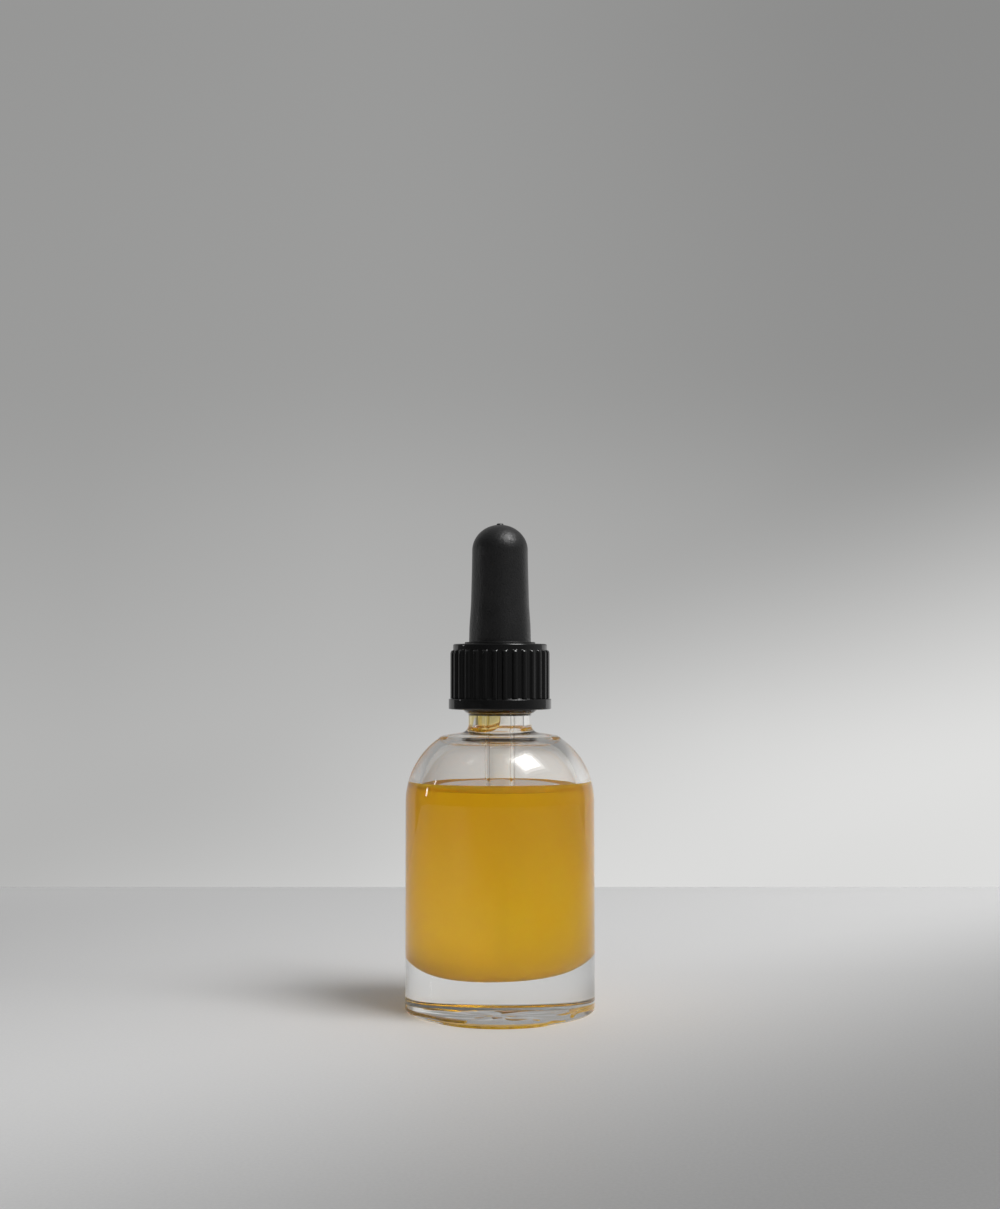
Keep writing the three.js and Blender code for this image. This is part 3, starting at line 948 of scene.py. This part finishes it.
def make_residue():
    """A film of oil that has run down inside the neck at the front left, with a thick rounded foot."""
    across, up = 60, 70
    start, end = math.radians(FILM_FROM_DEG), math.radians(FILM_TO_DEG)
    inner, outer = [], []
    for i in range(across + 1):
        share = i / across
        angle = start + (end - start) * share
        # The film's foot rises over its second half, and the film thins out at both sides.
        lift = max(0, (share - 0.5) / 0.5)
        foot = FILM_FOOT + (FILM_FOOT_HIGH - FILM_FOOT) * (1 - math.sqrt(1 - lift**2.4))
        side = math.sqrt(max(0, 1 - abs(2 * share - 1) ** 10))
        for k in range(up + 1):
            # The rows are closest together at the foot, where the film is thickest.
            height = foot + (FILM_TOP - foot) * (k / up) ** 1.8
            above = height - foot
            edge = math.sqrt(max(0, 1 - (1 - min(1, above / FILM_EDGE)) ** 2))
            drop = FILM_DROP * math.exp(-above / FILM_DROP_HEIGHT)
            wall = bore_radius(height)
            face = wall - (FILM_THICKNESS + drop) * side * edge - FILM_LEAST
            inner.append((face * math.cos(angle), face * math.sin(angle), height))
            outer.append(((wall + WETTED) * math.cos(angle), (wall + WETTED) * math.sin(angle), height))
    count, row = len(inner), up + 1
    faces = []
    for i in range(across):
        for k in range(up):
            a, b, c, d = i * row + k, (i + 1) * row + k, (i + 1) * row + k + 1, i * row + k + 1
            faces.append((a, b, c, d))
            faces.append((count + d, count + c, count + b, count + a))
    for i in range(across):
        for k in (0, up):
            a, b = i * row + k, (i + 1) * row + k
            faces.append((a, b, count + b, count + a) if k else (b, a, count + a, count + b))
    for k in range(up):
        for i in (0, across):
            a, b = i * row + k, i * row + k + 1
            faces.append((a, b, count + b, count + a) if i == 0 else (b, a, count + a, count + b))
    film = mesh_object("oil_film_in_neck", inner + outer, faces)
    film.data.materials.append(oil_film_material())
    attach(film, "bottle")


def make_smears():
    """Oil that has crept under the bottle: under the front of its standing ring, and in streaks."""
    amber = MaterialNodes("smeared_oil")
    mottle = amber.noise(1.5 * MM)
    colour = amber.mixed(amber.ranged(mottle, 0, 1), (0.5, 0.27, 0.002), (0.75, 0.47, 0.005))
    amber.drive("Base Color", colour)
    amber.set(Roughness=0.3, IOR=OIL_IOR)
    ring = []
    for angle_deg, half in RING_SMEAR:
        angle = math.radians(angle_deg)
        ring.append((RING_SMEAR_RADIUS * math.cos(angle), RING_SMEAR_RADIUS * math.sin(angle), half))
    for name, line in {"oil_round_ring": ring, **STREAKS}.items():
        path = smooth_curve([(x * MM, y * MM, half * MM) for x, y, half in line], 8)
        top = RING_SMEAR_HEIGHT if name == "oil_round_ring" else PUSH_UP + WETTED
        verts, faces = [], []
        for i, (x, y, half) in enumerate(path):
            before, after = path[max(0, i - 1)], path[min(len(path) - 1, i + 1)]
            along = Vector((after[0] - before[0], after[1] - before[1])).normalized()
            for side, height in ((-1, SMEAR_FOOT), (1, SMEAR_FOOT), (1, top), (-1, top)):
                verts.append((x - along.y * side * half, y + along.x * side * half, height))
            if i:
                low = 4 * (i - 1)
                for k in range(4):
                    n = (k + 1) % 4
                    faces.append((low + k, low + n, low + 4 + n, low + 4 + k))
        faces.append((3, 2, 1, 0))
        end = 4 * (len(path) - 1)
        faces.append((end, end + 1, end + 2, end + 3))
        smear = mesh_object(name, verts, faces)
        smear.data.materials.append(amber.material)
        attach(smear, "bottle")


# ---------------------------------------------------------------- room, light and camera

CAMERA_PLACE = (0, -0.357, 0.072)
CAMERA_UP_DEG = 2.15


def table_material():
    """Pale table top with painted light: palest along a slanting band where most of the window's light
    falls, and paler further back.
    """
    nodes = MaterialNodes("pale_table")
    nodes.set(Roughness=0.6, Specular_IOR_Level=0.3)
    place = nodes.place()
    # The slanting band and the paler back are painted light in the table's colour; the specks are its own
    # grain.
    across = nodes.maths("MULTIPLY", nodes.maths("SUBTRACT", place["Y"], place["X"]), math.sqrt(0.5))
    painted_band_rise = nodes.ranged(across, 0.365, 0.88, -0.135, 0.02, smooth=True)
    painted_band_fall = nodes.ranged(across, 0, -0.22, 0.02, 0.22, smooth=True)
    speck = nodes.ranged(nodes.noise(0.6 * MM, detail=3), -0.015, 0.015)
    painted_back_light = nodes.ranged(place["Y"], 0, 0.16, 0.04, 0.18)
    pale = nodes.maths("ADD", nodes.maths("ADD", painted_band_rise, painted_band_fall), nodes.maths("ADD", speck, painted_back_light))
    grey = nodes.add("ShaderNodeCombineColor")
    for channel in grey.inputs[:3]:
        nodes.link(pale, channel)
    nodes.drive("Base Color", grey.outputs["Color"])
    return nodes.material


def wall_material():
    """Glowing wall: a soft patch of light low on the right, darkening upwards and to the right."""
    nodes = MaterialNodes("lit_wall")
    nodes.tree.nodes.remove(nodes.shader)
    glow = nodes.add("ShaderNodeEmission")
    place = nodes.place()
    upper = nodes.ranged(place["Z"], 0.345, 0.307, 0, 0.634)
    low = nodes.ranged(place["Z"], 0.12, 0, -0.12, 0.33, smooth=True)
    right = nodes.ranged(place["X"], 0, -0.05, -0.13, 0.35, smooth=True)
    slanted = nodes.maths("SUBTRACT", nodes.maths("MULTIPLY", place["X"], 0.45), place["Z"])
    patch = nodes.ranged(slanted, 0, 0.33, -0.12, 0.21, smooth=True)
    # Paler behind the object's upper half and duller just above the table, away from the picture's sides.
    rise = nodes.ranged(place["Z"], -0.05, 0.05, -0.12, 0.04, smooth=True)
    fall = nodes.ranged(place["Z"], 0, 0.04, 0.18, 0.36, smooth=True)
    from_left = nodes.ranged(place["X"], 0.2, 1, -0.36, -0.14)
    from_right = nodes.ranged(place["X"], 1, 0.4, 0.2, 0.45)
    within = nodes.maths("MULTIPLY", from_left, from_right)
    behind = nodes.maths("MULTIPLY", nodes.maths("SUBTRACT", rise, fall), within)
    level = nodes.maths("ADD", nodes.maths("ADD", upper, low), nodes.maths("ADD", right, patch))
    nodes.link(nodes.maths("ADD", level, behind), glow.inputs["Strength"])
    glow.inputs["Color"].default_value = (1, 1, 0.99, 1)
    nodes.link(glow.outputs["Emission"], nodes.output.inputs["Surface"])
    return nodes.material


def make_floor_and_wall():
    """A pale table top that ends behind the object, and a pale wall further back."""
    floor_back, floor_reach = 0.197, 1.6
    wall_back, wall_half_width, wall_low, wall_high = 1.1, 1.6, -0.5, 1.6
    floor = mesh_object(
        "floor",
        [
            (-floor_reach, -floor_reach, 0),
            (floor_reach, -floor_reach, 0),
            (floor_reach, floor_back, 0),
            (-floor_reach, floor_back, 0),
        ],
        [(0, 1, 2, 3)],
    )
    floor.data.materials.append(table_material())
    wall = mesh_object(
        "wall",
        [
            (-wall_half_width, wall_back, wall_low),
            (wall_half_width, wall_back, wall_low),
            (wall_half_width, wall_back, wall_high),
            (-wall_half_width, wall_back, wall_high),
        ],
        [(0, 1, 2, 3)],
    )
    wall.data.materials.append(wall_material())


def area_lamp(name, place, target, width, height, power):
    """A rectangular lamp in metres and watts, turned towards its target."""
    data = bpy.data.lights.new(name, "AREA")
    data.shape = "RECTANGLE"
    data.size, data.size_y = width, height
    data.energy = power
    lamp = bpy.data.objects.new(name, data)
    lamp.location = place
    lamp.rotation_euler = (Vector(target) - Vector(place)).to_track_quat("-Z", "Y").to_euler()
    bpy.context.scene.collection.objects.link(lamp)


def make_light():
    """A window high on the right with its soft surround, and a small bright gap on the left."""
    middle = Vector((0, 0, 0.06))
    window = Vector((0.49, -0.3, 0.87)).normalized()
    gap = Vector((-0.982, 0.19, 0.13)).normalized()
    for name, direction, distance, width, height, power in (
        ("window", window, 1, 0.36, 0.3, 2.8),
        ("window_surround", window, 1.05, 0.52, 0.46, 2.6),
        ("window_glow", window, 1.1, 0.75, 0.66, 1.5),
        ("gap", gap, 0.8, 0.04, 0.1, 0.12),
    ):
        area_lamp(name, middle + direction * distance, middle, width, height, power)


def make_room():
    """The dim room all round, brighter at the back, at the right and overhead."""
    world = bpy.data.worlds.new("room")
    bpy.context.scene.world = world
    world.use_nodes = True
    nodes = Nodes(world.node_tree)
    background = nodes.tree.nodes["Background"]
    direction = nodes.place("Generated")
    back = nodes.ranged(direction["Y"], 0.11, 0.25, -0.9, 0.3, smooth=True)
    right = nodes.ranged(direction["X"], 0.36, 1.08, -1, 0.4)
    ceiling = nodes.ranged(direction["Z"], 0, 0.08, 0.35, 1, smooth=True)
    strength = nodes.maths("ADD", nodes.maths("MULTIPLY", back, right), ceiling)
    nodes.link(strength, background.inputs["Strength"])
    background.inputs["Color"].default_value = (1, 1, 1, 1)


def make_camera():
    """A 50 mm lens on a full frame, at the eye height and distance of a close table-top picture."""
    data = bpy.data.cameras.new("camera")
    data.lens = 50
    data.sensor_width = 36
    data.clip_start = 0.01
    camera = bpy.data.objects.new("camera", data)
    camera.location = CAMERA_PLACE
    camera.rotation_euler = (math.radians(90 + CAMERA_UP_DEG), 0, 0)
    bpy.context.scene.collection.objects.link(camera)
    bpy.context.scene.camera = camera


def set_rendering():
    """Enough bounces for light to get through several walls of glass and out of the oil."""
    scene = bpy.context.scene
    scene.view_settings.view_transform = "Standard"
    scene.cycles.use_denoising = True
    scene.cycles.max_bounces = 24
    scene.cycles.transmission_bounces = 20
    scene.cycles.glossy_bounces = 12
    scene.cycles.transparent_max_bounces = 24
    scene.cycles.sample_clamp_indirect = 8


make_camera()
make_floor_and_wall()
make_light()
make_room()
set_rendering()
make_bottle()
make_oil()
make_meniscus()
make_cap()
make_bulb()
make_washer()
make_pipette()
make_oil_in_pipette()
make_residue()
make_smears()
